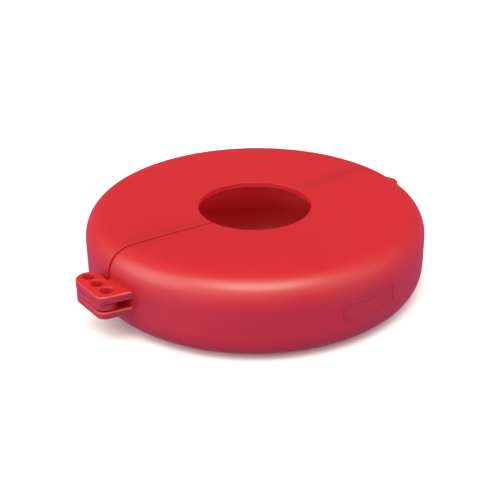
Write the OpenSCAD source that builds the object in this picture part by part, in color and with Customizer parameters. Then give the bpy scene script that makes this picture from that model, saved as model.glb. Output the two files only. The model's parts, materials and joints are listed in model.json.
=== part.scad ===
// Hinged clamshell cover for a gate-valve handwheel, with a three-hole padlock hasp.
// Two moulded halves close around the handwheel. The valve stem passes through the
// round hole in the middle, a vertical rivet joins the halves at +X, and the
// interleaved hasp tabs take the padlocks at -X.
// The origin is the centre of the base, +Z is up, and the front half lies at -Y.

/* [Cover] */
// Outer diameter of the closed cover
cover_od = 195; // [185:1:215]
// Height of the closed cover
cover_h = 45.3; // [43:0.1:60]
// Diameter of the stem hole in both plates
stem_hole_d = 65; // [30:1:80]
// Wall and plate thickness
wall_t = 2.8; // [2.2:0.1:3.6]
// Width of the rounded shoulder, measured along the radius
shoulder_w = 16.1; // [10:0.1:18]
// Height of the rounded shoulder
shoulder_h = 15.7; // [10:0.1:16]
// Fullness of the shoulder curve, where 2 is an ellipse
shoulder_n = 2.4; // [2:0.1:3]
// Width of the flat landing inside the shoulder, which the cover rests on
landing_w = 6; // [3:0.5:12]
// How far each plate dips from the landing to the stem hole
plate_dip = 1.05; // [0:0.05:2]

/* [Seam] */
// Gap between the two halves when they are closed
seam_gap = 0.6; // [0.4:0.05:1]
// Seam position along Y at the wall, on the hasp side
seam_hasp_wall = 0.6; // [-1:0.1:1]
// Seam position along Y at the stem hole, on the hasp side
seam_hasp_hole = -3.2; // [-4:0.1:1]
// Seam position along Y at the stem hole, on the hinge side
seam_hinge_hole = -0.6; // [-4:0.1:1]
// Seam position along Y at the wall, on the hinge side
seam_hinge_wall = 1.3; // [-1:0.1:1.5]
// How far the rear half's tongue reaches into the front half
tongue_reach = 4; // [2:0.5:6]
// Thickness of the tongue
tongue_t = 1.6; // [1:0.1:2]
// Clearance between the tongue and the front half
tongue_gap = 0.35; // [0.3:0.05:0.6]

/* [Hasp] */
// Diameter of each padlock hole
lock_hole_d = 7.1; // [5:0.1:7.5]
// Distance between the padlock holes
lock_pitch = 9.5; // [9:0.1:10]
// Distance from the wall to the line of padlock holes
lock_offset = 7.2; // [6.5:0.1:8]
// How far the tabs stand out from the wall
hasp_reach = 15; // [13:0.1:16]
// Half width of the tabs on the front half's side
hasp_front = 17; // [16:0.1:18]
// How much wider the tabs are where they meet the front wall
hasp_flare = 2.6; // [0:0.1:4]
// Half width of the tabs on the rear half's side
hasp_rear = 15.3; // [15:0.1:17]
// Thickness of the upper tab
upper_tab_t = 4.2; // [3:0.1:5]
// Thickness of the lower tab
lower_tab_t = 3.7; // [3:0.1:5]
// Height of the slot between the upper and lower tabs
slot_h = 5; // [4:0.1:6]
// Vertical clearance on each side of the middle tab in its slot
slot_gap = 0.25; // [0.15:0.05:0.5]

/* [Hinge] */
// Radius of the hinge knuckles
knuckle_r = 8; // [7:0.1:9]
// Height of each knuckle
knuckle_h = 4.6; // [4:0.1:5.5]
// Gap between neighbouring knuckles
knuckle_gap = 0.3; // [0.2:0.05:0.5]
// Clearance between a knuckle and the wall of the other half
knuckle_clear = 0.6; // [0.5:0.1:1]
// Radius of the rivet's shank
rivet_r = 2.4; // [2:0.1:2.8]
// Radius of the rivet's head
rivet_head_r = 4.4; // [3.6:0.1:4.8]
// Thickness of the washers under the head and under the clinched end
washer_t = 0.8; // [0.5:0.1:1]

/* [Marking frame] */
// Width of the blank raised frame on the front wall
frame_w = 36; // [24:1:60]
// Height of the blank raised frame
frame_h = 10.5; // [8:0.5:13]
// How far the frame stands proud of the wall
frame_relief = 0.4; // [0.2:0.1:0.8]

/* [Hidden] */
$fn = 96;

cover_r = cover_od / 2;
hole_r = stem_hole_d / 2;
shoulder_r = cover_r - shoulder_w;
landing_r = shoulder_r - landing_w;
mid_z = cover_h / 2;
shoulder_steps = 14;
overlap = 0.4;
far = 2 * cover_od;

// Hasp levels, centred on mid-height
hasp_z0 = mid_z - (upper_tab_t + slot_h + lower_tab_t) / 2;
slot_z0 = hasp_z0 + lower_tab_t;
slot_z1 = slot_z0 + slot_h;
hasp_z1 = slot_z1 + upper_tab_t;
hasp_x = -(cover_r + hasp_reach);
lock_x = -(cover_r + lock_offset);
tip_r = 6.4;

// Hinge axis and knuckle levels
pin_x = cover_r + knuckle_clear + knuckle_r;
pin_y = seam_hinge_wall;
knuckle_z0 = mid_z - 1.5 * knuckle_h - knuckle_gap;
knuckle_step = knuckle_h + knuckle_gap;
knuckle_top = knuckle_z0 + 2 * knuckle_step + knuckle_h;
web_w = 11;
shank_fit = 0.02;
shank_run = 0.05;
washer_r = rivet_head_r + 0.6;
head_h = 1.4;
clinch_r = 3.7;
clinch_h = 1;
recess_r = washer_r + 0.3;
recess_h = washer_t + 1;

// Everything outside the wall at the hasp swings clear of this radius about the hinge axis
swing_r = norm([pin_x + cover_r, pin_y - seam_hasp_wall]) + 0.6;
swing_x = pin_x - swing_r;
tab_end_r = (swing_x - hasp_x) / 2 - 0.05;

frame_line = 0.9;
frame_z = 23.2;
frame_turn = -89.5;

// Superellipse quarter from the wall (step 0) to the plate (last step)
function quarter(a, b, i) =
    let (t = 90 * i / shoulder_steps)
    [a * pow(cos(t), 2 / shoulder_n), b * pow(sin(t), 2 / shoulder_n)];

// Section line of the cover, set in from the outer surface by d, from the lower
// edge of the stem hole round the wall to the upper edge; r0 is its inner end
function section(d, r0 = hole_r) =
    let (a = shoulder_w - d, b = shoulder_h - d,
         q = [for (i = [0 : shoulder_steps]) quarter(a, b, i)])
    concat(
        [[r0, d + plate_dip * (landing_r - r0) / (landing_r - hole_r)],
         [landing_r, d]],
        [for (i = [shoulder_steps : -1 : 0]) [shoulder_r + q[i][0], shoulder_h - q[i][1]]],
        [for (i = [0 : shoulder_steps]) [shoulder_r + q[i][0], cover_h - shoulder_h + q[i][1]]],
        [[landing_r, cover_h - d],
         [r0, cover_h - d - plate_dip * (landing_r - r0) / (landing_r - hole_r)]]);

function reversed(list) = [for (i = [len(list) - 1 : -1 : 0]) list[i]];

// Outline through corners [x, y, radius], with each corner rounded by an arc
function rounded(corners, steps = 8) =
    let (n = len(corners))
    [for (i = [0 : n - 1])
        let (p = corners[i], a = corners[(i + n - 1) % n], b = corners[(i + 1) % n],
             c = [p[0], p[1]],
             u = ([a[0], a[1]] - c) / norm([a[0], a[1]] - c),
             v = ([b[0], b[1]] - c) / norm([b[0], b[1]] - c),
             half = acos(u * v) / 2,
             centre = c + (u + v) / norm(u + v) * p[2] / sin(half),
             start = c + u * p[2] / tan(half) - centre,
             finish = c + v * p[2] / tan(half) - centre,
             a0 = atan2(start[1], start[0]),
             sweep = (atan2(finish[1], finish[0]) - a0 + 540) % 360 - 180)
        for (s = [0 : p[2] > 0 ? steps : 0])
            p[2] > 0
                ? centre + p[2] * [cos(a0 + sweep * s / steps), sin(a0 + sweep * s / steps)]
                : c];

// Ring between two section lines
module band(d0, d1, r0 = hole_r) {
    rotate_extrude()
        polygon(concat(section(d0, r0), reversed(section(d1, r0))));
}

// Plan region on one side of the seam, side = -1 for the front and 1 for the rear,
// with its edge moved along Y by shift
module seam_side(side, shift) {
    line = [[-far, seam_hasp_wall], [-cover_r, seam_hasp_wall], [-hole_r, seam_hasp_hole],
            [hole_r, seam_hinge_hole], [cover_r, seam_hinge_wall], [far, seam_hinge_wall]];
    translate([0, 0, -1])
        linear_extrude(cover_h + 2)
            polygon(concat([for (p = line) [p[0], p[1] + shift]],
                           [[far, side * far], [-far, side * far]]));
}

module half_cover(side) {
    intersection() {
        band(0, wall_t);
        seam_side(side, side * seam_gap / 2);
    }
}

// Tongue along the rear half's edge: its root is bonded to the wall, its tip is set in
module tongue() {
    lip_r0 = hole_r + 2;
    intersection() {
        band(wall_t - overlap, wall_t + tongue_gap + tongue_t, lip_r0);
        difference() {
            seam_side(1, seam_gap / 2);
            seam_side(1, seam_gap / 2 + tongue_reach);
        }
    }
    intersection() {
        band(wall_t + tongue_gap, wall_t + tongue_gap + tongue_t, lip_r0);
        difference() {
            seam_side(1, seam_gap / 2 - tongue_reach);
            seam_side(1, seam_gap / 2 + overlap);
        }
    }
}

// Plan outline of the upper and lower tabs: their free end is fully round and stands
// clear of the rear wall, so that it can swing away
module tab_outline() {
    edge = seam_hasp_wall - seam_gap / 2;
    polygon(rounded([
        [hasp_x, hasp_rear, tab_end_r],
        [hasp_x, -hasp_front + 1.5, 5],
        [-cover_r - 8, -hasp_front, 6],
        [-cover_r + 3, -hasp_front - hasp_flare, 0],
        [-cover_r + 6, -hasp_front - hasp_flare, 0],
        [-cover_r + 6, edge, 0],
        [swing_x, edge, 0],
        [swing_x, hasp_rear, tab_end_r]]));
}

// Plan outline of the middle tab, a finger with a round tip that stays clear of the front wall
module finger_outline() {
    inner_x = -cover_r - 1.2;
    polygon(rounded([
        [hasp_x + 0.5, hasp_rear, 9],
        [hasp_x + 0.5, -lock_pitch - tip_r, tip_r - 0.2],
        [inner_x - 0.6, -lock_pitch - tip_r, tip_r - 0.2],
        [inner_x, 0, 3],
        [-cover_r + 6, 0, 0],
        [-cover_r + 6, hasp_rear, 0]]));
}

module lock_holes() {
    for (i = [-1 : 1])
        translate([lock_x, i * lock_pitch, 0]) cylinder(h = cover_h, d = lock_hole_d);
}

// Solid inside the wall, removed so that tabs and webs end within the wall's thickness
module wall_core() {
    translate([0, 0, -1]) cylinder(h = cover_h + 2, r = cover_r - wall_t / 2, $fn = 180);
}

// Hasp tab of the front half, between two levels
module front_tab(z0, z1) {
    difference() {
        translate([0, 0, z0]) linear_extrude(z1 - z0) tab_outline();
        wall_core();
        lock_holes();
    }
}

module middle_tab() {
    difference() {
        translate([0, 0, slot_z0 + slot_gap])
            linear_extrude(slot_h - 2 * slot_gap) finger_outline();
        wall_core();
        lock_holes();
        intersection() {
            translate([pin_x, pin_y, -1]) cylinder(h = cover_h + 2, r = swing_r, $fn = 360);
            seam_side(-1, seam_gap / 2);
        }
    }
}

// Hinge knuckle number i from below, with a web to the wall on the given side
module knuckle(i, side) {
    z = knuckle_z0 + i * knuckle_step;
    edge = pin_y + side * seam_gap / 2;
    difference() {
        translate([0, 0, z]) {
            translate([pin_x, pin_y, 0]) cylinder(h = knuckle_h, r = knuckle_r);
            linear_extrude(knuckle_h)
                polygon([[pin_x, edge], [cover_r - 3, edge],
                         [cover_r - 6, pin_y + side * (web_w + 9)],
                         [pin_x - 4, pin_y + side * web_w],
                         [pin_x + knuckle_r * cos(40), pin_y + side * knuckle_r * sin(40)]]);
        }
        wall_core();
    }
}

module pin_bore(clearance) {
    translate([pin_x, pin_y, 0]) cylinder(h = cover_h, r = rivet_r + clearance);
}

// Recesses for the washers, the rivet's head and its clinched end
module rivet_recess() {
    translate([pin_x, pin_y, knuckle_top - recess_h]) cylinder(h = recess_h + 1, r = recess_r);
    translate([pin_x, pin_y, knuckle_z0 - 1]) cylinder(h = recess_h + 1, r = recess_r);
}

// Blank raised frame on the front wall, where a marking plate would go
module marking_frame() {
    turn = 2 * asin(frame_w / 2 / cover_r);
    inner_turn = 2 * asin((frame_w / 2 - frame_line) / cover_r);
    difference() {
        rotate([0, 0, frame_turn - turn / 2]) rotate_extrude(angle = turn)
            translate([cover_r - wall_t / 2, frame_z - frame_h / 2])
                square([wall_t / 2 + frame_relief, frame_h]);
        rotate([0, 0, frame_turn - inner_turn / 2]) rotate_extrude(angle = inner_turn)
            translate([cover_r - wall_t, frame_z - frame_h / 2 + frame_line])
                square([2 * wall_t, frame_h - 2 * frame_line]);
    }
}

module front_shell() {
    color("#d8333a") difference() {
        union() {
            half_cover(-1);
            front_tab(hasp_z0, slot_z0);
            front_tab(slot_z1, hasp_z1);
            knuckle(0, -1);
            knuckle(2, -1);
            marking_frame();
        }
        pin_bore(shank_fit);
        rivet_recess();
    }
}

module rear_shell() {
    color("#db3c3c") difference() {
        union() {
            half_cover(1);
            tongue();
            middle_tab();
            knuckle(1, 1);
        }
        pin_bore(shank_run);
    }
}

module hinge_rivet() {
    head_z = knuckle_top - recess_h + washer_t;
    clinch_z = knuckle_z0 + recess_h - washer_t - clinch_h;
    color("#b9bcc0") translate([pin_x, pin_y, 0]) {
        translate([0, 0, clinch_z + clinch_h / 2])
            cylinder(h = head_z - clinch_z, r = rivet_r);
        // Low domed head
        translate([0, 0, head_z]) rotate_extrude()
            polygon(concat([[0, 0], [rivet_head_r, 0]],
                [for (a = [0 : 15 : 90])
                    [rivet_head_r * cos(a), 0.4 + (head_h - 0.4) * sin(a)]]));
        // Rolled clinch
        translate([0, 0, clinch_z]) rotate_extrude()
            polygon([[0, clinch_h], [clinch_r, clinch_h], [clinch_r, 0.5],
                     [clinch_r - 0.6, 0], [0.8, 0], [0, 0.5]]);
    }
}

module rivet_washers() {
    color("#c4c6c9")
        for (z = [knuckle_top - recess_h, knuckle_z0 + recess_h - washer_t])
            translate([pin_x, pin_y, z]) difference() {
                cylinder(h = washer_t, r = washer_r);
                translate([0, 0, -1]) cylinder(h = washer_t + 2, r = rivet_r + shank_fit);
            }
}

front_shell();
rear_shell();
hinge_rivet();
rivet_washers();
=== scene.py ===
# Looks of the hinged gate-valve lockout cover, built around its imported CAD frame.
# Lengths are millimetres in the CAD model's axes until make_piece() turns them into metres:
# the hinge is at +X, the hasp at -X, the front half on the -Y side, and the floor at z = 0.
import json
import math

import bpy
import numpy as np
from mathutils import Matrix, Vector
from mathutils.geometry import delaunay_2d_cdt


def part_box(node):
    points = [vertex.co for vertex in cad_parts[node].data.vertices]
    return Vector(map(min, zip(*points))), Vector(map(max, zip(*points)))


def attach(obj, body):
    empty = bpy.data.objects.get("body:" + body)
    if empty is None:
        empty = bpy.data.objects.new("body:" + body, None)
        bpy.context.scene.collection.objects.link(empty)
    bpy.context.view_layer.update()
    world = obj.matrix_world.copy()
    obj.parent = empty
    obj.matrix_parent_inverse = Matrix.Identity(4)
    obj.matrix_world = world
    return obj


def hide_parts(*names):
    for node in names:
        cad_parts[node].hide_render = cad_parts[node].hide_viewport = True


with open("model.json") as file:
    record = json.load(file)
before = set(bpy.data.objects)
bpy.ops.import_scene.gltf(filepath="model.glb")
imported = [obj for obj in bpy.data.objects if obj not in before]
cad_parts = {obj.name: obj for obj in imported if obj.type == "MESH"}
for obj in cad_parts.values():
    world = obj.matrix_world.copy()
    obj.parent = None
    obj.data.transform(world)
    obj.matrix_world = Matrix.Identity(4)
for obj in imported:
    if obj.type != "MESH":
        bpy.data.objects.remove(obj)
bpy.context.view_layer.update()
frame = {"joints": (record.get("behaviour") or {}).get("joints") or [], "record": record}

MM = 0.001

# ---------------------------------------------------------------- sizes from the frame
mounts = {m["name"]: m for m in frame["record"]["mounts"]}
hinge = frame["joints"][0]
pin_x, pin_y = hinge["pos_m"][0] / MM, hinge["pos_m"][1] / MM
cover_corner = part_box("rear_shell")[1]
cover_r = cover_corner.y / MM
cover_h = cover_corner.z / MM
mid_z = cover_h / 2
hole_r = mounts["stem_hole"]["dims"]["r_mm"]
hasp_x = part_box("front_shell")[0].x / MM
lock_holes = [mounts[n] for n in sorted(mounts) if n.startswith("padlock_hole")]
lock_r = lock_holes[0]["dims"]["r_mm"]
stack_h = lock_holes[0]["dims"]["length_mm"]

# ---------------------------------------------------------------- sizes shared with the design
WALL = 2.8
# Rounded shoulder: a superellipse's half axes and power
SHOULDER_W = 16.1
SHOULDER_H = 15.7
SHOULDER_N = 2.4
# Flat ring inside the shoulder, and how far the plate sinks from there to the stem hole
LANDING_W = 6.0
PLATE_DIP = 1.05
# Seam: the gap across it, and its line's Y at the wall and the stem hole on either side
SEAM_GAP = 0.6
SEAM_HASP_WALL = 0.6
SEAM_HASP_HOLE = -3.2
SEAM_HINGE_HOLE = -0.6
SEAM_HINGE_WALL = 1.3
TONGUE_REACH = 4.0
TONGUE_T = 1.6
TONGUE_GAP = 0.35
# Hasp: three stacked tabs with their front and rear ends at these distances along Y
UPPER_TAB_T = 4.2
LOWER_TAB_T = 3.7
HASP_FRONT = 17.0
HASP_REAR = 15.3
HASP_FLARE = 2.6
LOCK_PITCH = 9.5
TIP_R = 6.4
SWING_GAP = 0.6
# Hinge: three stacked knuckles on a rivet with washers
KNUCKLE_R = 8.0
KNUCKLE_H = 4.6
KNUCKLE_GAP = 0.3
WEB_W = 11.0
RIVET_R = 2.4
RIVET_HEAD_R = 4.4
WASHER_T = 0.8
# Blank raised frame on the front wall
FRAME_W = 36.0
FRAME_H = 10.5
FRAME_RELIEF = 0.35
FRAME_LINE = 0.9
FRAME_Z = 23.2
FRAME_TURN = math.radians(-89.5)

# ---------------------------------------------------------------- finish of the mouldings
# Distance of each half's edge from the seam line
REAR_EDGE = 0.45
FRONT_EDGE_HOLE = 0.75
FRONT_EDGE_WALL = 1.4
HINGE_EDGE = 0.2
# Gap between the middle tab and each of its neighbours
SLOT_GAP = 0.65
# Edge radii
SEAM_R = 0.2
RIM_R = 0.18
TONGUE_R = 0.35
TAB_TOP_R = 0.95
TAB_SIDE_R = 0.25
BORE_R = 0.3
KNUCKLE_EDGE_R = 0.6
FRAME_R = 0.2
# Plan radii of the hasp's outlines
TAB_END_R = 7.2
TAB_CORNER_R = 5.0
TAB_BEND_R = 6.0
# Plan of the outer tabs: how far out their front edge bends towards the wall, and the taper
# of their outer edge
TAB_BEND_OUT = 8.0
TAB_TAPER = 1.5
# Plan of the middle tab: its outer edge's distance inside the outer tabs' one, and its inner
# edge's distance from the wall and taper
MIDDLE_INSET = 0.1
MIDDLE_GAP = 1.2
MIDDLE_TAPER = 0.6
# Hinge web's shoulder: its distance inside the pin's axis and its corner radius
WEB_SHOULDER_IN = 4.0
WEB_SHOULDER_R = 2.5
# Rivet: clearance in the knuckle that turns and elsewhere, room round its head, lip of its seat
TURN_FIT = 0.05
RIVET_FIT = 0.02
SEAT_ROOM = 0.9
SEAT_LIP_R = 0.4
# Radii where a tab or hinge web meets the wall: exposed faces, faces in a narrow slot, in plan
TAB_ROOT_R = 0.12
SLOT_ROOT_R = 0.15
WEB_ROOT_R = 1.4
KNUCKLE_ROOT_R = 0.12
TAB_FOOT_R = 0.9
WEB_FOOT_R = 1.6
# Depth to which outlines that end in the wall go into it
WALL_INSET = 1.4
# Moulding marks on the upper face at (radius, azimuth), with their lengths, widths and heights:
# the gate's vestige and faint nubs
GATE_MARK = (83.6, -85.6)
GATE_SIZE = (2.6, 1.2, 0.4)
FAINT_MARKS = ((83.3, -79), (84.8, -69), (83.3, -61), (81.2, -49), (83.5, -39))
FAINT_SIZE = (1.5, 0.9, 0.16)

# ---------------------------------------------------------------- mesh density
ARC_STEPS = 5
SHOULDER_STEPS = 22
HALF_STEPS = 96
EDGE_LAND = 0.25
FLAT_LAND = 0.15
CLOSEST = 0.12

# ---------------------------------------------------------------- worked out
SHOULDER_R = cover_r - SHOULDER_W
LANDING_R = SHOULDER_R - LANDING_W
hasp_z0 = mid_z - stack_h / 2
hasp_z1 = mid_z + stack_h / 2
slot_z0 = hasp_z0 + LOWER_TAB_T
slot_z1 = hasp_z1 - UPPER_TAB_T
knuckle_z0 = mid_z - 1.5 * KNUCKLE_H - KNUCKLE_GAP
knuckle_z1 = mid_z + 1.5 * KNUCKLE_H + KNUCKLE_GAP
seat_depth = WASHER_T + 1.0

SHARP_ANGLE = math.radians(38)

# A half's materials by number; the inside, tab and bore ones are lighter copies of the outside red, with
# painted light
OUTSIDE, INSIDE_PAINTED_LIGHT, TAB_PAINTED_LIGHT, BORE_PAINTED_LIGHT = range(4)


# ================================================================ mesh code
def make_piece(name, parts, body, materials, replaced):
    """One object from parts of vertices in mm, faces and, if given, each face's material number."""
    verts, faces, finish = [], [], []
    for v, f, *numbers in parts:
        base = len(verts)
        verts += [tuple(x) for x in np.asarray(v, float) * MM]
        faces += [tuple(base + i for i in face) for face in f]
        finish += numbers[0] if numbers else [OUTSIDE] * len(f)
    mesh = bpy.data.meshes.new(name)
    mesh.from_pydata(verts, [], faces)
    for material in materials:
        mesh.materials.append(material)
    mesh.polygons.foreach_set("material_index", finish)
    mesh.validate()
    mesh.polygons.foreach_set("use_smooth", [True] * len(mesh.polygons))
    mesh.set_sharp_from_angle(angle=SHARP_ANGLE)
    piece = bpy.data.objects.new(name, mesh)
    bpy.context.scene.collection.objects.link(piece)
    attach(piece, body)
    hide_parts(*replaced)


def outward(verts, faces):
    """The faces, turned to face outwards if the closed mesh is inside out."""
    v = np.asarray(verts, float)
    volume = 0.0
    for f in faces:
        for i in range(1, len(f) - 1):
            volume += np.dot(v[f[0]], np.cross(v[f[i]], v[f[i + 1]]))
    return verts, ([tuple(reversed(f)) for f in faces] if volume < 0 else faces)


def quarter(steps=ARC_STEPS):
    """Angles from 0 to a quarter turn."""
    return [math.pi / 2 * i / steps for i in range(steps + 1)]


def edge_steps(radius):
    """Distances from an edge at which a rounded edge needs a row of vertices."""
    return np.array([radius * (1 - math.sin(t)) for t in reversed(quarter())] + [radius + EDGE_LAND])


def thick_sheet(points, normals, thickness, row_dist, row_r, col_dist, col_r):
    """Closed solid of one thickness behind a grid of points, with all its edges rounded.

    row_dist and col_dist are each row's and column's distance from the nearest edge, row_r and
    col_r the radii there. The inner faces get the inside's material."""
    q = np.clip(1 - row_dist / row_r, 0, None)[:, None]
    w = np.clip(1 - col_dist / col_r, 0, None)[None, :]
    reach = np.minimum(np.hypot(q, w), 1)
    radius = (row_r * q + col_r * w) / np.maximum(q + w, 1e-9)
    depth = (radius * (1 - np.sqrt(1 - reach**2)))[..., None]
    outer = points - normals * depth
    inner = points - normals * (thickness - depth)
    rows, cols = points.shape[:2]
    verts = np.concatenate([outer.reshape(-1, 3), inner.reshape(-1, 3)])
    n = rows * cols
    faces = []
    for i in range(rows - 1):
        for j in range(cols - 1):
            a, b, c, d = i * cols + j, i * cols + j + 1, (i + 1) * cols + j + 1, (i + 1) * cols + j
            faces += [(a, b, c, d), (n + d, n + c, n + b, n + a)]
    # The inner faces' material is a paler, brighter copy of the red: painted light in the cavity.
    finish = [OUTSIDE, INSIDE_PAINTED_LIGHT] * (len(faces) // 2)
    rim = list(range(cols)) + [i * cols + cols - 1 for i in range(1, rows)]
    rim += [(rows - 1) * cols + j for j in range(cols - 2, -1, -1)]
    rim += [i * cols for i in range(rows - 2, 0, -1)]
    for a, b in zip(rim, rim[1:] + rim[:1]):
        faces.append((b, a, n + a, n + b))
    verts, faces = outward(verts, faces)
    return verts, faces, finish + [OUTSIDE] * (len(faces) - len(finish))


def rounded(corners, steps=8):
    """Outline through corners (x, y, radius), each rounded by an arc."""
    out = []
    n = len(corners)
    for i, (x, y, radius) in enumerate(corners):
        c = np.array([x, y], float)
        a = np.array(corners[i - 1][:2], float)
        b = np.array(corners[(i + 1) % n][:2], float)
        u, v = (a - c) / np.linalg.norm(a - c), (b - c) / np.linalg.norm(b - c)
        if radius <= 0:
            out.append(c)
            continue
        half = math.acos(float(np.clip(u @ v, -1, 1))) / 2
        centre = c + (u + v) / np.linalg.norm(u + v) * radius / math.sin(half)
        start = c + u * radius / math.tan(half) - centre
        finish = c + v * radius / math.tan(half) - centre
        a0 = math.atan2(start[1], start[0])
        sweep = (math.atan2(finish[1], finish[0]) - a0 + 3 * math.pi) % (2 * math.pi) - math.pi
        for s in range(steps + 1):
            t = a0 + sweep * s / steps
            out.append(centre + radius * np.array([math.cos(t), math.sin(t)]))
    return np.array(out)


def circle(x, y, radius, steps=48):
    """Points round a circle, anticlockwise."""
    t = np.linspace(0, 2 * math.pi, steps, endpoint=False)
    return np.stack([x + radius * np.cos(t), y + radius * np.sin(t)], 1)


def tidy_loop(loop, gap=1e-4):
    """The loop without points that repeat the one before."""
    keep = [i for i in range(len(loop)) if np.linalg.norm(loop[i] - loop[i - 1]) > gap]
    return loop[keep]


def turned_left(loop):
    """Unit miters that point into the material on the left of a closed loop."""
    e1 = loop - np.roll(loop, 1, 0)
    e2 = np.roll(loop, -1, 0) - loop
    n1 = np.stack([-e1[:, 1], e1[:, 0]], 1) / np.linalg.norm(e1, axis=1)[:, None]
    n2 = np.stack([-e2[:, 1], e2[:, 0]], 1) / np.linalg.norm(e2, axis=1)[:, None]
    longest_miter = 1 / 0.35
    return (n1 + n2) / np.clip(1 + (n1 * n2).sum(1), 1 / longest_miter, None)[:, None]


def signed_area(loop):
    """Area in a closed loop, above zero if it runs anticlockwise."""
    x, y = loop[:, 0], loop[:, 1]
    return 0.5 * float(x @ np.roll(y, -1) - y @ np.roll(x, -1))


def inside(point, loop):
    """Whether a point is within a closed loop."""
    x, y = point
    x0, y0 = loop[:, 0], loop[:, 1]
    x1, y1 = np.roll(x0, -1), np.roll(y0, -1)
    crosses = (y0 > y) != (y1 > y)
    with np.errstate(divide="ignore", invalid="ignore"):
        at = x0 + (y - y0) / (y1 - y0) * (x1 - x0)
    return bool(np.count_nonzero(crosses & (x < at)) % 2)


def edge_profile(z0, z1, low_r, high_r=None):
    """(inset, z) steps up a plate's side, with rounded lower and upper edges."""
    high_r = low_r if high_r is None else high_r
    low = [(low_r * (1 - math.sin(t)), z0 + low_r * (1 - math.cos(t))) for t in quarter()]
    high = [(high_r * (1 - math.sin(t)), z1 - high_r * (1 - math.cos(t))) for t in reversed(quarter())]
    return [(low_r + FLAT_LAND, z0)] + low + high + [(high_r + FLAT_LAND, z1)]


def buried(loop, margin=0.03):
    """1 for the points of a loop outside the cover's wall and 0 for those hidden in it."""
    return (np.hypot(loop[:, 0], loop[:, 1]) > cover_r - margin).astype(float)


def welded(verts, faces):
    """The mesh without coinciding or unused vertices, and without the faces that vanish with them."""
    spots = [tuple(float(c) for c in np.round(v, 4)) for v in verts]
    faces = [tuple(dict.fromkeys(spots[i] for i in face)) for face in faces]
    faces = [face for face in faces if len(face) > 2]
    index = {spot: i for i, spot in enumerate(dict.fromkeys(spot for face in faces for spot in face))}
    return list(index), [tuple(index[spot] for spot in face) for face in faces]


def plate(loops, profiles, extra=(), hidden=True):
    """Closed plate: loops[0] is its outline and the rest its holes; profiles are (inset, z) steps.

    extra points are added to both flat faces, for a later bend; hidden leaves the edges that
    lie in the wall unrounded."""
    verts, faces, ends = [], [], []
    for k, (loop, profile) in enumerate(zip(loops, profiles)):
        loop = tidy_loop(np.asarray(loop, float))
        if (signed_area(loop) > 0) != (k == 0):
            loop = loop[::-1]
        miter = turned_left(loop)
        if hidden:
            miter = miter * buried(loop)[:, None]
        base, n = len(verts), len(loop)
        for inset, z in profile:
            ring = loop + miter * inset
            verts += [(x, y, z) for x, y in ring]
        for level in range(len(profile) - 1):
            for i in range(n):
                a, b = base + level * n + i, base + level * n + (i + 1) % n
                faces.append((a, b, b + n, a + n))
        top = base + (len(profile) - 1) * n
        ends.append((range(base, base + n), range(top, top + n)))
    for side in (0, 1):
        rings = [list(e[side]) for e in ends]
        flat = [np.array([verts[i][:2] for i in ring]) for ring in rings]
        z = verts[rings[0][0]][2]
        index = [i for ring in rings for i in ring]
        points = [Vector(p) for loop in flat for p in loop]
        edges, start = [], 0
        for ring in rings:
            count = len(ring)
            edges += [(start + i, start + (i + 1) % count) for i in range(count)]
            start += count
        for p in extra:
            if inside(p, flat[0]) and not any(inside(p, hole) for hole in flat[1:]):
                near = min(float(np.min(np.linalg.norm(loop - p, axis=1))) for loop in flat)
                if near > CLOSEST:
                    points.append(Vector(p))
                    index.append(len(verts))
                    verts.append((p[0], p[1], z))
        got, _, tris, origin, _, _ = delaunay_2d_cdt(points, edges, [], 0, 1e-6)
        for tri in tris:
            mid = sum((got[i] for i in tri), Vector((0, 0))) / 3
            if not inside(mid, flat[0]) or any(inside(mid, hole) for hole in flat[1:]):
                continue
            ids = [index[origin[i][0]] for i in tri]  # empty only if an outline crosses itself
            faces.append(tuple(ids) if side else tuple(reversed(ids)))
    return welded(*outward(verts, faces))


def lathe(corners, x, y, steps=64):
    """Solid of revolution about a vertical axis at (x, y) from a closed (radius, z, corner) outline."""
    ring = tidy_loop(rounded(corners, 4))
    rows = len(ring)
    verts, faces = [], []
    for s in range(steps):
        t = 2 * math.pi * s / steps
        verts += [(x + r * math.cos(t), y + r * math.sin(t), z) for r, z in ring]
    for s in range(steps):
        n = (s + 1) % steps
        for i in range(rows):
            j = (i + 1) % rows
            on_i, on_j = ring[i][0] < 1e-6, ring[j][0] < 1e-6
            if on_i and on_j:
                continue
            a, b, c, d = s * rows + i, s * rows + j, n * rows + j, n * rows + i
            a, d = (i, i) if on_i else (a, d)
            b, c = (j, j) if on_j else (b, c)
            faces.append(tuple(dict.fromkeys((a, b, c, d))))
    used = sorted({i for face in faces for i in face})
    new = {old: i for i, old in enumerate(used)}
    return outward([verts[i] for i in used], [tuple(new[i] for i in face) for face in faces])


# ================================================================ the cover's section
def seam_y(side_x, radius):
    """Y of the seam line at a radius, on the hasp side (-1) or hinge side (1)."""
    share = (radius - hole_r) / (cover_r - hole_r)
    if side_x < 0:
        return SEAM_HASP_HOLE + (SEAM_HASP_WALL - SEAM_HASP_HOLE) * share
    return SEAM_HINGE_HOLE + (SEAM_HINGE_WALL - SEAM_HINGE_HOLE) * share


def seam_edge(side_x, side, radius):
    """Distance of one half's edge from the seam line at a radius."""
    if side_x > 0:
        return HINGE_EDGE
    if side > 0:
        return REAR_EDGE
    share = (radius - hole_r) / (cover_r - hole_r)
    return FRONT_EDGE_HOLE + (FRONT_EDGE_WALL - FRONT_EDGE_HOLE) * share


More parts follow.
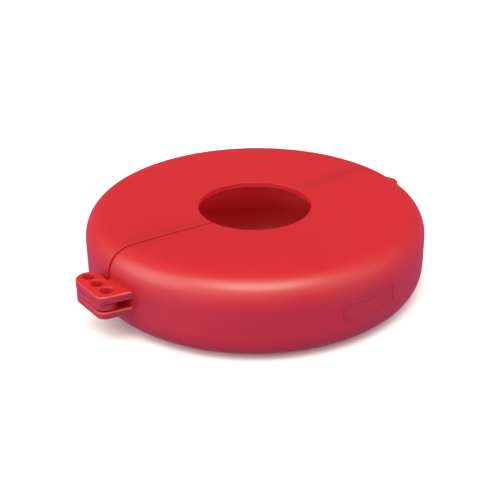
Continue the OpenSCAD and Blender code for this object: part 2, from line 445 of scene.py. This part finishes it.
def section(inner_r, edge_r):
    """Outer section line from the lower plate's inner edge to the upper plate's.

    Returns points (r, z), unit normals and each point's distance from the nearer end."""
    slope = PLATE_DIP / (LANDING_R - hole_r)
    tilt = np.array([-slope, -1.0]) / math.hypot(slope, 1)
    radii = [inner_r + d for d in edge_steps(edge_r)]
    radii += list(np.linspace(radii[-1] + 2, LANDING_R - 2, 8))
    pts = [(r, PLATE_DIP * (LANDING_R - r) / (LANDING_R - hole_r)) for r in radii]
    normals = [tilt] * len(pts)
    flat = [LANDING_R + 1.5, SHOULDER_R - 2]
    pts += [(r, 0.0) for r in flat]
    normals += [np.array([0.0, -1.0])] * len(flat)
    for t in reversed(quarter(SHOULDER_STEPS)):
        x, z = math.cos(t) ** (2 / SHOULDER_N), math.sin(t) ** (2 / SHOULDER_N)
        pts.append((SHOULDER_R + SHOULDER_W * x, SHOULDER_H * (1 - z)))
        n = np.array([x ** (SHOULDER_N - 1) / SHOULDER_W, -(z ** (SHOULDER_N - 1)) / SHOULDER_H])
        normals.append(n / np.linalg.norm(n))
    pts += [(cover_r, z) for z in np.linspace(SHOULDER_H, mid_z, 4)[1:]]
    normals += [np.array([1.0, 0.0])] * 3
    pts, normals = np.array(pts), np.array(normals)
    upper = pts[-2::-1] * [1, -1] + [0, cover_h]
    pts = np.concatenate([pts, upper])
    normals = np.concatenate([normals, normals[-2::-1] * [1, -1]])
    length = np.r_[0, np.cumsum(np.linalg.norm(np.diff(pts, axis=0), axis=1))]
    return pts, normals, np.minimum(length, length[-1] - length)


def swept(sec, normals, depth, angles):
    """Grid of points and normals at a depth below the section line, one angle row per section point."""
    r = (sec[:, 0] - normals[:, 0] * depth)[:, None]
    z = (sec[:, 1] - normals[:, 1] * depth)[:, None]
    c, s = np.cos(angles), np.sin(angles)
    points = np.stack([r * c, r * s, z + 0 * angles], -1)
    grid = np.stack([normals[:, :1] * c, normals[:, :1] * s, normals[:, 1:] + 0 * angles], -1)
    return points, grid


def half_shell(side):
    """One half of the cover: side -1 is the front, 1 the rear."""
    sec, normals, row_dist = section(hole_r, RIM_R)
    near = edge_steps(SEAM_R)
    r = sec[:, :1]
    at = {}
    for end in (-1, 1):
        y = seam_y(end, r) + side * (seam_edge(end, side, r) + near[None, :])
        lift = np.arcsin(y / r)
        at[end] = math.pi - lift if end < 0 else lift + (2 * math.pi if side < 0 else 0)
    first, last = (at[-1], at[1]) if side < 0 else (at[1], at[-1])
    steps = np.linspace(0, 1, HALF_STEPS + 2)[1:-1]
    middle = first[:, -1:] * (1 - steps) + last[:, -1:] * steps
    angles = np.concatenate([first, middle, last[:, ::-1]], 1)
    col_dist = np.r_[near, np.full(HALF_STEPS, np.inf), near[::-1]]
    points, grid = swept(sec, normals, 0, angles)
    return thick_sheet(points, grid, WALL, row_dist, RIM_R, col_dist, SEAM_R)


def tongue_strip(end, depth, thickness, y_from, y_to):
    """Strip of the seam tongue on one side, between two distances along Y from the seam line."""
    sec, normals, row_dist = section(hole_r + 2, TONGUE_R)
    near = edge_steps(TONGUE_R)
    offsets = np.r_[y_from + near, y_to - near[::-1]]
    r = sec[:, :1]
    lift = np.arcsin((seam_y(end, r) + offsets[None, :]) / r)
    angles = math.pi - lift if end < 0 else lift
    points, grid = swept(sec, normals, depth, angles)
    col_dist = np.r_[near, near[::-1]]
    return thick_sheet(points, grid, thickness, row_dist, TONGUE_R, col_dist, TONGUE_R)


def root_fillet(verts, z_low, z_high, below, above):
    """Bends a plate's two faces away from each other where they meet the cover's wall."""
    v = np.array(verts, float)
    r = np.hypot(v[:, 0], v[:, 1])
    share = np.clip((v[:, 2] - (z_low + z_high) / 2) / ((z_high - z_low) / 2), -1, 1)
    for radius, part in ((below, np.clip(share, -1, 0)), (above, np.clip(share, 0, 1))):
        inset = np.clip((cover_r + radius - r) / radius, 0, 1)
        v[:, 2] += radius * (1 - np.sqrt(1 - inset**2)) * part
    return v


def wall_points(y_low, y_high, side_x, *radii):
    """Points along the wall that give the root fillets their curve."""
    rows, spacing = 6, 0.8
    out = []
    for radius in radii:
        for t in quarter(rows):
            r = cover_r + radius * (1 - math.sin(t))
            for y in np.arange(y_low, y_high, spacing):
                out.append((side_x * math.sqrt(r * r - y * y), float(y)))
    return out


def on_wall(y, side_x, inset):
    """Point at a depth in the wall, on the hasp side (-1) or hinge side (1)."""
    r = cover_r - inset
    return side_x * math.sqrt(r * r - y * y), y


def foot(outer, inner, fillet, side_x):
    """Corners that take an outline's edge from outer towards inner into the wall with a plan fillet."""
    reach, skin = 2.6, 0.04
    a, b = np.array(outer, float), np.array(inner, float)
    low, high = 0.0, 1.0
    for _ in range(40):
        t = (low + high) / 2
        low, high = (t, high) if np.linalg.norm(a + (b - a) * t) > cover_r + skin else (low, t)
    x, y = a + (b - a) * low
    away = y + math.copysign(reach, b[1] - a[1])
    skin_point = (*on_wall(away, side_x, 2 * skin), 0)
    deep_point = (*on_wall(away, side_x, WALL_INSET), 0)
    return [(x, y, fillet), skin_point, deep_point]


# ================================================================ the hasp
def swing_edge(y_from, y_to, steps):
    """Arc about the hinge axis that clears the other half's wall, between two Y values."""
    r = pin_x + cover_r + SWING_GAP
    heights = np.linspace(y_from, y_to, steps)
    return [(pin_x - math.sqrt(r * r - (y - pin_y) ** 2), y, 0) for y in heights]


def lock_circles():
    """Outlines of the padlock holes."""
    return [circle(m["pos_m"][0] / MM, m["pos_m"][1] / MM, lock_r) for m in lock_holes]


def tab_finish(verts, faces):
    """Material numbers of a hasp tab's faces: those of its padlock bores have their own, a much brighter
    copy of the red with painted light.
    """
    v = np.array(verts)[:, :2] * MM
    bore_r = (lock_r + 0.02) * MM
    near = np.min([np.hypot(*(v - np.array(m["pos_m"][:2])).T) for m in lock_holes], axis=0)
    return [BORE_PAINTED_LIGHT if max(near[list(face)]) < bore_r else TAB_PAINTED_LIGHT for face in faces]


def front_tab(z0, z1, below, above):
    """Upper or lower hasp tab of the front half, with its root fillets' radii."""
    seam = SEAM_HASP_WALL - SEAM_GAP / 2
    bend = (-cover_r - TAB_BEND_OUT, -HASP_FRONT)
    inner = swing_edge(seam, HASP_REAR - TAB_END_R - 0.5, 5)
    outline = rounded(
        [(hasp_x, HASP_REAR, TAB_END_R), (hasp_x, TAB_TAPER - HASP_FRONT, TAB_CORNER_R),
         (*bend, TAB_BEND_R)]
        + foot(bend, (3 - cover_r, -HASP_FRONT - HASP_FLARE), TAB_FOOT_R, -1)
        + [(*on_wall(seam, -1, WALL_INSET), 0)] + inner + [(inner[-1][0], HASP_REAR, TAB_END_R)], 12)
    side = edge_profile(z0, z1, TAB_SIDE_R, TAB_TOP_R)
    bore = edge_profile(z0, z1, BORE_R)
    extra = wall_points(-HASP_FRONT - 5, SEAM_HASP_WALL, -1, below, above)
    verts, faces = plate([outline] + lock_circles(), [side] + [bore] * 3, extra)
    return root_fillet(verts, z0, z1, below, above), faces, tab_finish(verts, faces)


def middle_tab(z0, z1):
    """Hasp tab of the rear half: a finger with a round tip."""
    seam = SEAM_HASP_WALL + SEAM_GAP / 2
    outer_x = hasp_x + MIDDLE_INSET
    inner_x = -cover_r - MIDDLE_GAP
    tip_y = -LOCK_PITCH - TIP_R
    tip_r = TIP_R - 0.2
    heel = foot((hasp_x, HASP_REAR), (6 - cover_r, HASP_REAR + 0.01), TAB_FOOT_R, -1)
    outline = rounded(
        [(outer_x, HASP_REAR, TAB_END_R), (outer_x, tip_y, tip_r), (inner_x - MIDDLE_TAPER, tip_y, tip_r),
         (inner_x, seam, 0), (*on_wall(seam, -1, WALL_INSET), 0)] + heel[::-1], 10)
    side = edge_profile(z0, z1, TAB_SIDE_R)
    bore = edge_profile(z0, z1, BORE_R + 0.05)
    verts, faces = plate([outline] + lock_circles(), [side] + [bore] * 3)
    return verts, faces, tab_finish(verts, faces)


# ================================================================ the hinge
def knuckle(level, side):
    """Hinge knuckle number level from below, with its web to one half's wall."""
    z0 = knuckle_z0 + level * (KNUCKLE_H + KNUCKLE_GAP)
    z1 = z0 + KNUCKLE_H
    edge = pin_y + side * SEAM_GAP / 2
    shoulder = (pin_x - WEB_SHOULDER_IN, pin_y + side * WEB_W)
    heel = foot(shoulder, (cover_r - 6, pin_y + side * 20), WEB_FOOT_R, 1)
    first, last = math.radians(40), -math.pi - math.asin(SEAM_GAP / 2 / KNUCKLE_R)
    arc = [(pin_x + KNUCKLE_R * math.cos(t), pin_y + side * KNUCKLE_R * math.sin(t), 0)
           for t in np.linspace(first, last, 48)]
    hidden_end = (*on_wall(edge, 1, WALL_INSET), 0)
    outline = rounded(arc + [hidden_end] + heel[::-1] + [(*shoulder, WEB_SHOULDER_R)])
    side_profile = edge_profile(z0, z1, KNUCKLE_EDGE_R)
    if level == 1:
        bore = edge_profile(z0, z1, BORE_R)
        bore_r = RIVET_R + TURN_FIT
    else:
        bore_r = RIVET_R + RIVET_FIT
        seat, land = RIVET_HEAD_R + SEAT_ROOM - bore_r, 0.2
        floor_z = z1 - seat_depth
        lip = [(seat + SEAT_LIP_R * (1 - math.cos(t)), z1 - SEAT_LIP_R * (1 - math.sin(t)))
               for t in quarter()]
        bore = [(BORE_R, z0), (0.0, z0 + BORE_R), (0.0, floor_z), (seat, floor_z)]
        bore += lip + [(seat + SEAT_LIP_R + land, z1)]
        if level == 0:
            bore = [(inset, z0 + z1 - z) for inset, z in reversed(bore)]
    y_low, y_high = sorted((edge, heel[1][1]))
    below = WEB_ROOT_R if level == 0 else KNUCKLE_ROOT_R
    above = WEB_ROOT_R if level == 2 else KNUCKLE_ROOT_R
    verts, faces = plate([outline, circle(pin_x, pin_y, bore_r)], [side_profile, bore],
                         wall_points(y_low, y_high, 1, *{below, above}))
    return root_fillet(verts, z0, z1, below, above), faces


# ================================================================ low relief on the mouldings
def wrapped(verts, turn, z):
    """Bends a flat plate (u, v, height) round the cover's wall at a turn about the axis."""
    out = []
    for u, v, h in verts:
        a = turn + u / cover_r
        out.append(((cover_r + h) * math.cos(a), (cover_r + h) * math.sin(a), z + v))
    return out


def marking_frame():
    """Blank raised frame on the front wall."""
    def corners(inset, radius):
        """Corners of the frame's outline, moved in."""
        w, h = FRAME_W / 2 - inset, FRAME_H / 2 - inset
        return [(-w, -h, radius), (w, -h, radius), (w, h, radius), (-w, h, radius)]

    def split(loop, step=1.5):
        """The loop with points added so that it can bend."""
        out = []
        for a, b in zip(loop, np.roll(loop, -1, 0)):
            n = max(1, int(np.linalg.norm(b - a) / step))
            out += [a + (b - a) * i / n for i in range(n)]
        return np.array(out)

    outer, inner = rounded(corners(0, 2)), rounded(corners(FRAME_LINE, 1.2))
    sunk, top = -0.6, FRAME_RELIEF
    side = [(0.0, sunk)]
    side += [(FRAME_R * (1 - math.cos(t)), top - FRAME_R * (1 - math.sin(t))) for t in quarter(4)]
    verts, faces = plate([split(outer), split(inner)], [side, side], (), False)
    return wrapped(verts, FRAME_TURN, FRAME_Z), faces


def shoulder_z(radius):
    """Height of the cover's upper face at a radius."""
    if radius <= SHOULDER_R:
        return cover_h
    x = (radius - SHOULDER_R) / SHOULDER_W
    return cover_h - SHOULDER_H + SHOULDER_H * (1 - x**SHOULDER_N) ** (1 / SHOULDER_N)


def nub(radius, azimuth, length, width, height):
    """Low rounded nub on the upper face, longer round the axis than across."""
    turn = math.radians(azimuth)
    radial, along = (math.cos(turn), math.sin(turn)), (-math.sin(turn), math.cos(turn))
    slope = shoulder_z(radius + 0.5) - shoulder_z(radius - 0.5)
    around, rings, sunk = 24, 6, 0.03
    verts, faces = [], []
    for k, t in enumerate(quarter(rings)):
        size, rise = math.cos(t), height * math.sin(t)
        for i in range(around if k < rings else 1):
            a = 2 * math.pi * i / around
            u, v = math.cos(a) * size * length / 2, math.sin(a) * size * width / 2
            verts.append((radius * radial[0] + v * radial[0] + u * along[0],
                          radius * radial[1] + v * radial[1] + u * along[1],
                          shoulder_z(radius) + slope * v + rise - sunk))
    for k in range(rings - 1):
        for i in range(around):
            a, b = k * around + i, k * around + (i + 1) % around
            faces.append((a, b, b + around, a + around))
    top = rings * around
    faces += [(top - around + i, top - around + (i + 1) % around, top) for i in range(around)]
    faces.append(tuple(range(around - 1, -1, -1)))
    return outward(verts, faces)


# ================================================================ materials
def shader(name):
    """New material with its nodes, its links and its Principled shader."""
    material = bpy.data.materials.new(name)
    material.use_nodes = True
    nodes, links = material.node_tree.nodes, material.node_tree.links
    nodes.clear()
    out = nodes.new("ShaderNodeOutputMaterial")
    main = nodes.new("ShaderNodeBsdfPrincipled")
    links.new(main.outputs["BSDF"], out.inputs["Surface"])
    return material, nodes, links, main


def noise(nodes, links, coords, scale, detail=3.0, rough=0.5):
    """Noise texture's value, at so many features to the metre."""
    tex = nodes.new("ShaderNodeTexNoise")
    tex.inputs["Scale"].default_value = scale
    tex.inputs["Detail"].default_value = detail
    tex.inputs["Roughness"].default_value = rough
    links.new(coords, tex.inputs["Vector"])
    return tex.outputs["Fac"]


def ramp(nodes, links, value, stops):
    """Colour that follows a value through stops (position, colour)."""
    node = nodes.new("ShaderNodeValToRGB")
    node.color_ramp.elements[0].position, node.color_ramp.elements[0].color = stops[0]
    node.color_ramp.elements[1].position, node.color_ramp.elements[1].color = stops[-1]
    for position, colour in stops[1:-1]:
        node.color_ramp.elements.new(position).color = colour
    links.new(value, node.inputs["Fac"])
    return node.outputs["Color"]


def bump(nodes, links, height, strength, distance):
    """Bump from a height, at a strength and over a distance in metres."""
    node = nodes.new("ShaderNodeBump")
    node.inputs["Strength"].default_value = strength
    node.inputs["Distance"].default_value = distance
    links.new(height, node.inputs["Height"])
    return node


def mixed(nodes, links, share, first, second):
    """Mix of two nodes' shaders, with a share of the second."""
    node = nodes.new("ShaderNodeMixShader")
    node.inputs["Fac"].default_value = share
    links.new(first.outputs[0], node.inputs[1])
    links.new(second.outputs[0], node.inputs[2])
    return node


def grey(value):
    """Colour that carries a number through a ramp."""
    return (value, value, value, 1.0)


def red_plastic(name, colour, deep, rough, through, share):
    """Satin red polypropylene with a fine moulded grain, faint flow marks and light handling marks.

    deep is the colour of the darker patches, through that of light through the wall and share
    how much of the light goes through."""
    material, nodes, links, main = shader(name)
    coords = nodes.new("ShaderNodeTexCoord").outputs["Object"]
    flow = noise(nodes, links, coords, 14.0, 4.0, 0.55)
    tint = ramp(nodes, links, flow, [(0.3, (*deep, 1.0)), (0.7, (*colour, 1.0))])
    links.new(tint, main.inputs["Base Color"])
    haze = noise(nodes, links, coords, 45.0, 5.0, 0.6)
    dull = ramp(nodes, links, haze, [(0.3, grey(rough)), (0.75, grey(rough + 0.07))])
    links.new(dull, main.inputs["Roughness"])
    main.inputs["IOR"].default_value = 1.49
    main.inputs["Specular IOR Level"].default_value = 0.3
    glow = nodes.new("ShaderNodeBsdfTranslucent")
    glow.inputs["Color"].default_value = (*through, 1.0)
    body = mixed(nodes, links, share, main, glow)
    sheen = nodes.new("ShaderNodeBsdfGlossy")
    sheen.inputs["Color"].default_value = (0.55, 1.0, 0.98, 1.0)
    links.new(dull, sheen.inputs["Roughness"])
    skin = mixed(nodes, links, 0.057, body, sheen)
    links.new(skin.outputs["Shader"], nodes["Material Output"].inputs["Surface"])
    grain = bump(nodes, links, noise(nodes, links, coords, 1500.0, 2.0, 0.6), 0.05, 0.0001)
    wave = bump(nodes, links, noise(nodes, links, coords, 22.0, 2.0, 0.4), 0.2, 0.0006)
    links.new(grain.outputs["Normal"], wave.inputs["Normal"])
    links.new(wave.outputs["Normal"], main.inputs["Normal"])
    links.new(wave.outputs["Normal"], sheen.inputs["Normal"])
    return material


def zinc_steel(name, colour, base_rough):
    """Bright zinc plate: soft metal with fine turned lines and dull patches."""
    material, nodes, links, main = shader(name)
    coords = nodes.new("ShaderNodeTexCoord").outputs["Object"]
    patches = noise(nodes, links, coords, 420.0, 4.0, 0.6)
    shade = [c * 0.78 for c in colour]
    tint = ramp(nodes, links, patches, [(0.3, (*shade, 1.0)), (0.7, (*colour, 1.0))])
    links.new(tint, main.inputs["Base Color"])
    dull = ramp(nodes, links, patches, [(0.25, grey(base_rough)), (0.8, grey(base_rough + 0.14))])
    links.new(dull, main.inputs["Roughness"])
    main.inputs["Metallic"].default_value = 1.0
    lines = bump(nodes, links, noise(nodes, links, coords, 2600.0, 3.0, 0.6), 0.2, 0.00005)
    links.new(lines.outputs["Normal"], main.inputs["Normal"])
    return material


def plastics(half, colour, deep):
    """A half's materials in the order of their numbers; colour and deep are the outside's. The inside,
    tab and bore materials are lighter copies of it, with painted light.
    """
    glow, pale_glow = (1.0, 0.07, 0.10), (1.0, 0.3, 0.32)
    return [
        red_plastic(half + "_red", colour, deep, 0.36, glow, 0.40),
        # Inside: a paler, brighter copy of the red, painted light for the light in the cavity
        red_plastic(half + "_inside", (0.82, 0.135, 0.147), (0.79, 0.12, 0.132), 0.60, pale_glow, 0.25),
        # Hasp tabs: a brighter, less blue copy of the red, painted light on the tabs' sides; less light
        # goes through them
        red_plastic(half + "_tabs", (0.485, 0.0095, 0.0085), (0.465, 0.0085, 0.0075), 0.36, glow, 0.16),
        # Padlock bores: a much brighter copy of the red, painted light inside the holes
        red_plastic(half + "_bores", (0.85, 0.020, 0.028), (0.80, 0.018, 0.025), 0.50, glow, 0.40),
    ]


# ================================================================ the pieces
def tongue(end):
    """Seam tongue on one side: the strip behind the front half's edge and its root on the rear half."""
    overlap, root_from, strip_to = 0.3, 0.5, 1.5
    start = SEAM_GAP / 2
    strip = tongue_strip(end, WALL + TONGUE_GAP, TONGUE_T, start - TONGUE_REACH, start + strip_to)
    root_t = TONGUE_GAP + TONGUE_T + overlap
    root = tongue_strip(end, WALL - overlap, root_t, start + root_from, start + TONGUE_REACH)
    return [strip, root]


def front_cover():
    """Front half of the cover, with the hasp's outer tabs and the hinge's outer knuckles."""
    lower_tab = front_tab(hasp_z0, slot_z0, TAB_ROOT_R, SLOT_ROOT_R)
    upper_tab = front_tab(slot_z1, hasp_z1, SLOT_ROOT_R, TAB_ROOT_R)
    marks = [marking_frame(), nub(*GATE_MARK, *GATE_SIZE)]
    marks += [nub(*mark, *FAINT_SIZE) for mark in FAINT_MARKS]
    make_piece(
        "front_cover", [half_shell(-1), lower_tab, upper_tab, knuckle(0, -1), knuckle(2, -1)] + marks,
        "front",
        plastics("front", (0.46, 0.0135, 0.0155), (0.43, 0.011, 0.013)), ["front_shell"])


def rear_cover():
    """Rear half of the cover, with the hasp's middle tab, the middle knuckle and the seam tongues."""
    tab = middle_tab(slot_z0 + SLOT_GAP, slot_z1 - SLOT_GAP)
    make_piece(
        "rear_cover", [half_shell(1), tab, knuckle(1, 1)] + tongue(-1) + tongue(1),
        "rear",
        plastics("rear", (0.455, 0.016, 0.015), (0.43, 0.013, 0.0125)), ["rear_shell"])


def rivet():
    """Rivet with a domed head on top and a clinched, hollow end below."""
    head_z = knuckle_z1 - seat_depth + WASHER_T
    clinch_z = knuckle_z0 + seat_depth - WASHER_T
    shank = [(0, clinch_z + 0.3, 0), (RIVET_R, clinch_z + 0.3, 0), (RIVET_R, head_z + 0.3, 0),
             (0, head_z + 0.3, 0)]
    head = [(0, head_z, 0), (RIVET_HEAD_R, head_z, 0.15), (RIVET_HEAD_R, head_z + 0.45, 0.2),
            (3.6, head_z + 1.0, 1.2), (2.2, head_z + 1.35, 2.0), (0, head_z + 1.4, 0)]
    clinch = [(0.9, clinch_z - 0.35, 0.1), (1.6, clinch_z - 0.95, 0.3), (2.9, clinch_z - 0.95, 0.5),
              (3.7, clinch_z - 0.4, 0.3), (3.6, clinch_z, 0.05), (0, clinch_z + 0.35, 0),
              (0, clinch_z - 0.1, 0)]
    make_piece(
        "rivet", [lathe(outline, pin_x, pin_y) for outline in (shank, head, clinch)],
        "front", [zinc_steel("rivet_zinc", (0.60, 0.61, 0.62), 0.24)], ["hinge_rivet"])


def washers():
    """Washers under the rivet's head and clinched end, on the floors of their seats."""
    inner_r, outer_r = RIVET_R + RIVET_FIT, RIVET_HEAD_R + 0.6
    rings = []
    for z in (knuckle_z1 - seat_depth, knuckle_z0 + seat_depth - WASHER_T):
        section_line = [(inner_r, z, 0.1), (outer_r, z, 0.2), (outer_r, z + WASHER_T, 0.2),
                        (inner_r, z + WASHER_T, 0.1)]
        rings.append(lathe(section_line, pin_x, pin_y))
    make_piece(
        "washers", rings, "front",
        [zinc_steel("washer_zinc", (0.66, 0.67, 0.68), 0.3)], ["rivet_washers"])


# ================================================================ floor, light and camera
def floor_material():
    """Matt pale paint with a faint unevenness."""
    material, nodes, links, main = shader("studio_floor")
    coords = nodes.new("ShaderNodeTexCoord").outputs["Object"]
    tone = noise(nodes, links, coords, 3.0, 2.0)
    tint = ramp(nodes, links, tone, [(0.3, (0.91, 0.91, 0.94, 1.0)), (0.7, (0.93, 0.93, 0.96, 1.0))])
    links.new(tint, main.inputs["Base Color"])
    main.inputs["Roughness"].default_value = 0.85
    return material


def floor():
    """Plain floor that takes the soft shadow, and tints neither the part's light nor its reflections."""
    size = 6.0
    corners = [(-size, -size, 0), (size, -size, 0), (size, size, 0), (-size, size, 0)]
    mesh = bpy.data.meshes.new("studio_floor")
    mesh.from_pydata(corners, [], [(0, 1, 2, 3)])
    mesh.materials.append(floor_material())
    obj = bpy.data.objects.new("studio_floor", mesh)
    obj.visible_glossy = obj.visible_diffuse = False
    bpy.context.scene.collection.objects.link(obj)


def direction(azimuth, elevation):
    """Unit vector towards an azimuth, from -Y at 0 to +X at 90 degrees, and an elevation."""
    a, e = math.radians(azimuth), math.radians(elevation)
    return Vector((math.sin(a) * math.cos(e), -math.cos(a) * math.cos(e), math.sin(e)))


def softbox(name, azimuth, elevation, spread, strength, colour, glossy=True, diffuse=True):
    """Sun light that stands in for a large softbox in a direction, spread degrees wide.

    A softbox that only the gloss or only the colour sees sets one without the other."""
    back = direction(azimuth, elevation)
    light = bpy.data.lights.new(name, "SUN")
    light.angle = math.radians(spread)
    light.energy = strength
    light.color = colour
    obj = bpy.data.objects.new(name, light)
    obj.location = back * 2
    obj.visible_glossy, obj.visible_diffuse = glossy, diffuse
    obj.rotation_mode = "QUATERNION"
    obj.rotation_quaternion = (-back).to_track_quat("-Z", "Y")
    bpy.context.scene.collection.objects.link(obj)


def backdrop():
    """Cool surroundings that change from the horizon down, seen as plain white by the camera."""
    world = bpy.data.worlds.new("studio")
    bpy.context.scene.world = world
    world.use_nodes = True
    nodes, links = world.node_tree.nodes, world.node_tree.links
    split = nodes.new("ShaderNodeSeparateXYZ")
    links.new(nodes.new("ShaderNodeTexCoord").outputs["Generated"], split.inputs[0])
    level = nodes.new("ShaderNodeMath")
    level.operation = "MULTIPLY_ADD"
    level.inputs[1].default_value = level.inputs[2].default_value = 0.5
    links.new(split.outputs["Z"], level.inputs[0])
    tint = ramp(nodes, links, level.outputs[0], [
        (0.0, (0.2, 1.0, 2.2, 1.0)), (0.3, (1.5, 1.15, 2.6, 1.0)), (0.46, (1.9, 1.2, 2.7, 1.0)),
        (0.54, (0.56, 0.46, 0.75, 1.0))])
    cool = nodes["Background"]
    links.new(tint, cool.inputs["Color"])
    cool.inputs["Strength"].default_value = 0.27
    white = nodes.new("ShaderNodeBackground")
    white.inputs["Color"].default_value = (1.0, 1.0, 1.0, 1.0)
    choice = nodes.new("ShaderNodeMixShader")
    links.new(nodes.new("ShaderNodeLightPath").outputs["Is Camera Ray"], choice.inputs["Fac"])
    links.new(cool.outputs["Background"], choice.inputs[1])
    links.new(white.outputs["Background"], choice.inputs[2])
    links.new(choice.outputs["Shader"], nodes["World Output"].inputs["Surface"])


def lights():
    """Softboxes over the part and round it; the overhead strip gives the shoulder its highlight."""
    warm = (1.0, 0.97, 0.88)
    softbox("overhead_box", -42, 84, 54, 2.8, (1.0, 0.99, 0.84), glossy=False)
    softbox("overhead_strip", -36, 76, 37, 2.0, (0.75, 0.99, 0.85), diffuse=False)
    softbox("front_box", -38, 38, 70, 0.45, (1.0, 0.95, 0.92))
    softbox("left_box", -107, 22, 90, 3.8, warm, glossy=False)
    softbox("left_strip", -116, 36, 50, 1.2, warm, diffuse=False)
    softbox("right_box", 44, 28, 80, 2.05, warm, glossy=False)
    softbox("back_box", 143, 15, 90, 0.4, warm, glossy=False)
    softbox("right_strip", 36, 38, 50, 0.35, warm, diffuse=False)
    bpy.context.scene.view_settings.view_transform = "Standard"


def camera():
    """Camera in the place and direction of the photograph's, turned a little about its axis."""
    lens, sensor_w = 71.84, 36
    place = Vector((-0.31687, -0.41444, 0.28597))
    azimuth, elevation, roll = -37.0691, 27.4453, -0.6073
    data = bpy.data.cameras.new("camera")
    data.lens = lens
    data.sensor_width = sensor_w
    obj = bpy.data.objects.new("camera", data)
    forward = -direction(azimuth, elevation)
    right = forward.cross(Vector((0, 0, 1))).normalized()
    up = right.cross(forward)
    turned = right * math.cos(math.radians(roll)) + up * math.sin(math.radians(roll))
    over = turned.cross(forward)
    axes = Matrix((turned, over, -forward)).transposed()
    obj.matrix_world = Matrix.Translation(place) @ axes.to_4x4()
    bpy.context.scene.collection.objects.link(obj)
    bpy.context.scene.camera = obj


front_cover()
rear_cover()
rivet()
washers()
floor()
backdrop()
lights()
camera()

bpy.context.view_layer.update()
